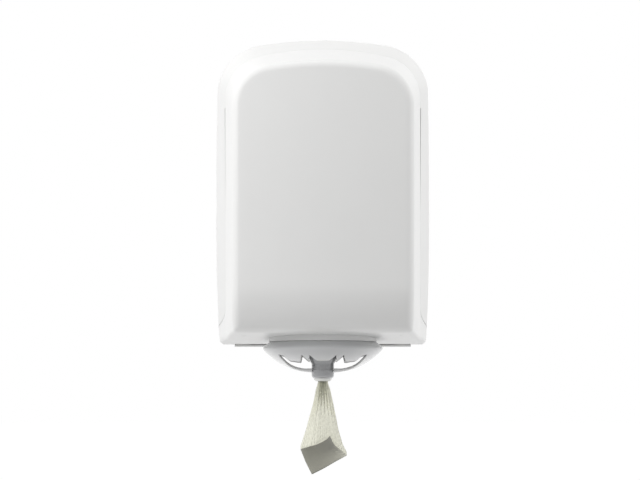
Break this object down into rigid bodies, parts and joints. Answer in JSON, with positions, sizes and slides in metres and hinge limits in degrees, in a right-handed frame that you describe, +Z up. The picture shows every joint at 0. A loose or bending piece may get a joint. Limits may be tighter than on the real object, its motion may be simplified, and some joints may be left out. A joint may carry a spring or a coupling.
{
  "type": "centrefeed roll dispenser",
  "caption": "Wall dispenser for centrefeed paper: a drop-down cover on a rear housing, a roll on a shelf, a toothed bowl with a turning nozzle, and a hanging paper tail.",
  "frame": {"origin": "centre of the housing's back face, in the plane of the wall", "axes": "+Z up, +Y into the wall, so the front panel faces -Y, and +X to the right as seen from the front"},
  "size_m": [0.287, 0.2399, 0.5763],
  "materials": {
    "cover_gloss": "moulded ABS, high gloss",
    "housing_white": "moulded ABS, semi gloss",
    "inner_white": "moulded polypropylene, satin",
    "bowl_grey": "moulded polypropylene, satin",
    "nozzle_grey": "moulded acetal, satin",
    "insert_white": "soft thermoplastic rubber",
    "paper": "embossed unbleached tissue",
    "zinc_steel": "zinc plated"
  },
  "bodies": {
    "rear_unit": {"rear_housing": "housing_white", "lock_bush": "housing_white", "lock_nut": "inner_white", "hinge_pin_left": "zinc_steel", "hinge_pin_right": "zinc_steel"},
    "lock": {"lock_barrel": "nozzle_grey", "lock_cam": "zinc_steel", "lock_cam_screw": "zinc_steel"},
    "cover_unit": {"front_cover": "cover_gloss", "strike_hook": "housing_white", "strike_screw_front": "zinc_steel", "strike_screw_rear": "zinc_steel", "roll_shelf": "inner_white", "shelf_screw_1": "zinc_steel", "shelf_screw_2": "zinc_steel", "shelf_screw_3": "zinc_steel", "shelf_screw_4": "zinc_steel", "dispensing_bowl": "bowl_grey", "bowl_screw_1": "zinc_steel", "bowl_screw_2": "zinc_steel", "bowl_screw_3": "zinc_steel", "bowl_screw_4": "zinc_steel", "paper_roll": "paper", "paper_feed": "paper"},
    "nozzle_unit": {"nozzle": "nozzle_grey", "nozzle_insert": "insert_white"},
    "tail": {"paper_tail": "paper"}
  },
  "joints": [
    {"name": "cover_open", "type": "hinge", "parent": "rear_unit", "child": "cover_unit", "pos_m": [0, -0.009, -0.1965], "axis": [1, 0, 0], "range_deg": [0, 50]},
    {"name": "lock_turn", "type": "hinge", "parent": "rear_unit", "child": "lock", "pos_m": [0, -0.02, 0.204], "axis": [0, 0, 1], "range_deg": [0, 90]},
    {"name": "nozzle_turn", "type": "hinge", "parent": "cover_unit", "child": "nozzle_unit", "pos_m": [0, -0.108, -0.20666], "axis": [0, 0.0837, 0.9965], "continuous": true},
    {"name": "tail_swing", "type": "hinge", "parent": "cover_unit", "child": "tail", "pos_m": [0, -0.11158, -0.25031], "axis": [-1, 0, 0], "range_deg": [0, 50]}
  ],
  "couplings": [
    {"joint": "tail_swing", "follows": "cover_open", "ratio": 1}
  ]
}
